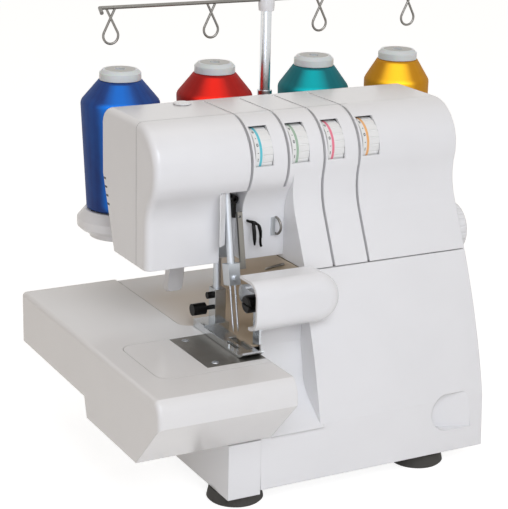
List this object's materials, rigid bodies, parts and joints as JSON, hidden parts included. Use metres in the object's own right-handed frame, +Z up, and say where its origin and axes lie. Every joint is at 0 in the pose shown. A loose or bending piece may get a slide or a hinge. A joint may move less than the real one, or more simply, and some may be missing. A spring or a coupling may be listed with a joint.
{
  "type": "overlock sewing machine",
  "caption": "Overlock sewing machine with thread slots and tension dials, free arm and removable table, hinged looper cover, needle and knife mechanism and a cone stand behind",
  "frame": {"origin": "centre of the plan bounding box, on the plane of the rubber feet", "axes": "+X to the operator's right, +Y to the back, +Z up"},
  "size_m": [0.4084, 0.2985, 0.393],
  "materials": {
    "white_abs": "glossy white injection moulding",
    "grey_abs": "moulded grey plastic",
    "clear_cap": "translucent moulded plastic",
    "feet_rubber": "moulded rubber",
    "steel": "ground steel",
    "chrome": "bright chrome plate",
    "black_oxide": "black oxide",
    "cast": "die cast",
    "lens": "frosted lamp lens",
    "belt_rubber": "moulded belt",
    "black_abs": "textured black plastic",
    "thread_blue": "cross wound polyester thread",
    "thread_red": "cross wound polyester thread",
    "thread_teal": "cross wound polyester thread",
    "thread_gold": "cross wound polyester thread"
  },
  "bodies": {
    "machine": {"base_pan": "white_abs", "rubber_feet": "feet_rubber", "rear_housing": "white_abs", "upper_cover": "white_abs", "machine_frame": "cast", "free_arm": "white_abs", "needle_plate": "steel", "plate_screws": "steel", "lower_knife": "steel", "pocket_plate": "steel", "thread_eyes": "black_oxide", "wire_hook": "black_oxide", "thread_clips": "chrome", "lamp_lens": "lens", "motor": "cast", "drive_belt": "belt_rubber", "power_inlet": "black_abs", "spool_stand": "white_abs", "cone_holders": "white_abs", "rod_outer": "chrome"},
    "table": {"extension_table": "white_abs"},
    "cover_carrier": {"cover_rod": "steel"},
    "cover": {"front_cover": "white_abs"},
    "needle_group": {"needle_bar": "steel", "needle_clamp": "steel", "needles": "steel", "take_up_strip": "steel"},
    "presser_group": {"presser_bar": "steel", "presser_foot": "chrome", "foot_screw": "black_oxide"},
    "lifter": {"presser_lifter": "white_abs"},
    "knife": {"upper_knife": "steel", "knife_knob": "black_oxide"},
    "looper_upper": {"upper_looper": "steel"},
    "looper_lower": {"lower_looper": "steel"},
    "feed": {"feed_dogs": "steel"},
    "drive": {"handwheel": "white_abs", "main_shaft": "steel"},
    "motor_rotor": {"motor_pulley": "steel"},
    "stitch_knob": {"stitch_dial": "grey_abs"},
    "differential_knob": {"differential_dial": "grey_abs"},
    "switch": {"power_switch": "black_abs"},
    "pressure_knob": {"pressure_screw": "white_abs"},
    "thread_tree": {"rod_inner": "chrome", "guide_hub": "white_abs", "thread_guide": "chrome"},
    "dial_1": {"tension_dial_1": "white_abs"},
    "cone_1": {"thread_cone_1": "thread_blue", "cone_core_1": "clear_cap"},
    "dial_2": {"tension_dial_2": "white_abs"},
    "cone_2": {"thread_cone_2": "thread_red", "cone_core_2": "clear_cap"},
    "dial_3": {"tension_dial_3": "white_abs"},
    "cone_3": {"thread_cone_3": "thread_teal", "cone_core_3": "clear_cap"},
    "dial_4": {"tension_dial_4": "white_abs"},
    "cone_4": {"thread_cone_4": "thread_gold", "cone_core_4": "clear_cap"}
  },
  "joints": [
    {"name": "table_slide", "type": "slide", "parent": "machine", "child": "table", "axis": [-1, 0, 0], "range_m": [0, 0.11]},
    {"name": "cover_shift", "type": "slide", "parent": "machine", "child": "cover_carrier", "axis": [1, 0, 0], "range_m": [0, 0.008], "stiffness_N_per_m": 200},
    {"name": "cover_hinge", "type": "hinge", "parent": "cover_carrier", "child": "cover", "pos_m": [0.02325, -0.10125, 0.02], "axis": [1, 0, 0], "range_deg": [0, 95]},
    {"name": "dial_1_turn", "type": "hinge", "parent": "machine", "child": "dial_1", "pos_m": [-0.05925, -0.02126, 0.28085], "axis": [1, 0, 0], "range_deg": [-150, 150]},
    {"name": "dial_2_turn", "type": "hinge", "parent": "machine", "child": "dial_2", "pos_m": [-0.02485, -0.02126, 0.28085], "axis": [1, 0, 0], "range_deg": [-150, 150]},
    {"name": "dial_3_turn", "type": "hinge", "parent": "machine", "child": "dial_3", "pos_m": [0.00955, -0.02126, 0.28085], "axis": [1, 0, 0], "range_deg": [-150, 150]},
    {"name": "dial_4_turn", "type": "hinge", "parent": "machine", "child": "dial_4", "pos_m": [0.04395, -0.02126, 0.28085], "axis": [1, 0, 0], "range_deg": [-150, 150]},
    {"name": "needle_stroke", "type": "slide", "parent": "machine", "child": "needle_group", "axis": [0, 0.1908, 0.9816], "range_m": [-0.012, 0.012]},
    {"name": "presser_lift", "type": "slide", "parent": "machine", "child": "presser_group", "axis": [0, 0, 1], "range_m": [0, 0.006]},
    {"name": "lifter_turn", "type": "hinge", "parent": "machine", "child": "lifter", "pos_m": [-0.10675, 0.02825, 0.205], "axis": [1, 0, 0], "range_deg": [0, 30]},
    {"name": "knife_rock", "type": "hinge", "parent": "machine", "child": "knife", "pos_m": [-0.07675, -0.04775, 0.166], "axis": [1, 0, 0], "range_deg": [-5, 4.2]},
    {"name": "upper_looper_rock", "type": "hinge", "parent": "machine", "child": "looper_upper", "pos_m": [0.00725, -0.04075, 0.076], "axis": [0, 1, 0], "range_deg": [-8, 8]},
    {"name": "lower_looper_rock", "type": "hinge", "parent": "machine", "child": "looper_lower", "pos_m": [-0.01475, -0.05275, 0.042], "axis": [0, 1, 0], "range_deg": [-8, 8]},
    {"name": "feed_travel", "type": "slide", "parent": "machine", "child": "feed", "axis": [0, 1, 0], "range_m": [-0.0025, 0.0025]},
    {"name": "handwheel_turn", "type": "hinge", "parent": "machine", "child": "drive", "pos_m": [0.13325, -0.02775, 0.194], "axis": [1, 0, 0], "continuous": true},
    {"name": "motor_turn", "type": "hinge", "parent": "machine", "child": "motor_rotor", "pos_m": [0.10325, 0.04525, 0.062], "axis": [1, 0, 0], "continuous": true},
    {"name": "stitch_length_turn", "type": "hinge", "parent": "machine", "child": "stitch_knob", "pos_m": [0.13125, 0.04025, 0.15], "axis": [1, 0, 0], "range_deg": [-135, 135]},
    {"name": "differential_turn", "type": "hinge", "parent": "machine", "child": "differential_knob", "pos_m": [0.13125, 0.07425, 0.15], "axis": [1, 0, 0], "range_deg": [-135, 135]},
    {"name": "switch_rock", "type": "hinge", "parent": "machine", "child": "switch", "pos_m": [0.12575, 0.08725, 0.038], "axis": [0, 1, 0], "range_deg": [-8, 8]},
    {"name": "pressure_turn", "type": "hinge", "parent": "machine", "child": "pressure_knob", "pos_m": [-0.09375, 0.04525, 0.31], "axis": [0, 0, 1], "range_deg": [-180, 180]},
    {"name": "tree_extend", "type": "slide", "parent": "machine", "child": "thread_tree", "axis": [0, 0, 1], "range_m": [0, 0.09]},
    {"name": "cone_1_spin", "type": "hinge", "parent": "machine", "child": "cone_1", "pos_m": [-0.12275, 0.11025, 0.208], "axis": [0, 0, 1], "continuous": true},
    {"name": "cone_2_spin", "type": "hinge", "parent": "machine", "child": "cone_2", "pos_m": [-0.03025, 0.11025, 0.208], "axis": [0, 0, 1], "continuous": true},
    {"name": "cone_3_spin", "type": "hinge", "parent": "machine", "child": "cone_3", "pos_m": [0.07275, 0.11025, 0.208], "axis": [0, 0, 1], "continuous": true},
    {"name": "cone_4_spin", "type": "hinge", "parent": "machine", "child": "cone_4", "pos_m": [0.16525, 0.11025, 0.208], "axis": [0, 0, 1], "continuous": true}
  ],
  "couplings": [
    {"joint": "lifter_turn", "follows": "presser_lift", "rad_per_m": 87.179},
    {"joint": "knife_rock", "follows": "needle_stroke", "rad_per_m": -5.9632},
    {"joint": "upper_looper_rock", "follows": "needle_stroke", "rad_per_m": 10.908},
    {"joint": "lower_looper_rock", "follows": "needle_stroke", "rad_per_m": -10.908},
    {"joint": "feed_travel", "follows": "needle_stroke", "ratio": 0.2},
    {"joint": "motor_turn", "follows": "handwheel_turn", "ratio": 2.75}
  ]
}
